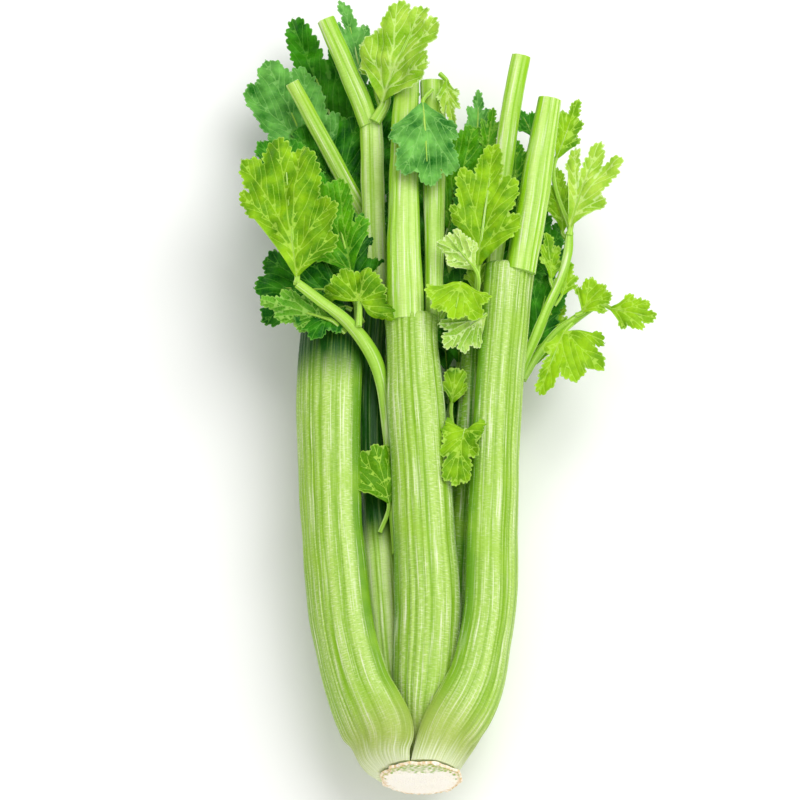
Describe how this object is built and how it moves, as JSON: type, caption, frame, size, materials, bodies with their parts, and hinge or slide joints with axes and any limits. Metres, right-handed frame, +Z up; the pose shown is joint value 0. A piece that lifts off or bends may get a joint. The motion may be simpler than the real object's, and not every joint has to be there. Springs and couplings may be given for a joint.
{
  "type": "head of celery",
  "caption": "Trimmed head of celery lying on its back, with ribbed bowed stalks, square-cut upper stems and a leafy top.",
  "frame": {"origin": "centre of the bounding box in X and Y, at the surface that the head lies on", "axes": "+Y along the head from the cut crown to the leaf tips, +Z up, +X across the head"},
  "size_m": [0.2078, 0.4132, 0.095],
  "materials": {
    "cut_crown": "matte, moist cut plant tissue",
    "stalk": "satin, ribbed, pale green",
    "leaf_stem": "satin, green",
    "mature_leaf": "satin, dark green",
    "young_leaf": "satin, yellow-green",
    "pale_leaf": "satin, pale green"
  },
  "bodies": {
    "root": {"crown": "cut_crown", "stalk_left": "stalk", "stalk_right": "stalk", "stalk_back_left": "stalk", "stalk_back_right": "stalk", "stalk_front": "stalk", "stalk_side_left": "stalk", "stalk_side_right": "stalk", "stalk_back": "stalk", "stalk_inner_left": "stalk", "stalk_inner_right": "stalk", "stalk_heart": "stalk", "stem_front_cut": "stalk", "stem_front_fork_cut": "stalk", "stem_inner_left_cut": "stalk", "stem_back_cut": "stalk", "stem_right_cut": "stalk", "stem_right_fork_cut": "stalk", "leaf_stem_left": "leaf_stem", "leaf_stem_right": "leaf_stem", "leaf_stem_far_right": "leaf_stem", "leaf_left_front": "young_leaf", "leaf_left_droop": "mature_leaf", "leaf_left_inner": "mature_leaf", "leaf_left_dark": "mature_leaf", "leaf_left_turned": "mature_leaf", "leaf_far_left": "mature_leaf", "leaf_far_left_low": "mature_leaf", "leaf_top_left": "mature_leaf", "leaf_top": "mature_leaf", "leaf_top_folded": "pale_leaf", "leaf_top_folded_small": "pale_leaf", "leaf_left_deep": "mature_leaf", "leaf_left_shaded": "mature_leaf", "leaf_centre_hanging": "mature_leaf", "leaf_centre_side": "pale_leaf", "leaf_centre_upper": "mature_leaf", "leaf_centre_deep": "mature_leaf", "leaf_centre_bright": "young_leaf", "leaf_centre_spike": "mature_leaf", "leaf_centre_pale": "pale_leaf", "leaf_centre_small": "young_leaf", "leaf_centre_wide": "young_leaf", "leaf_centre_folded": "pale_leaf", "leaf_heart_small": "young_leaf", "leaf_heart_curled": "young_leaf", "leaf_heart_fringe": "mature_leaf", "leaf_right_upper": "pale_leaf", "leaf_right_upper_inner": "young_leaf", "leaf_right_dark": "mature_leaf", "leaf_right_folded": "young_leaf", "leaf_right_tip": "young_leaf", "leaf_right_long": "young_leaf", "leaf_far_right_curl": "young_leaf", "leaf_far_right_tip": "young_leaf", "leaf_far_right_big": "young_leaf", "leaf_back_left": "mature_leaf", "leaf_back_right": "mature_leaf", "leaf_back_middle": "mature_leaf", "leaf_back_upper": "mature_leaf"}
  },
  "joints": []
}
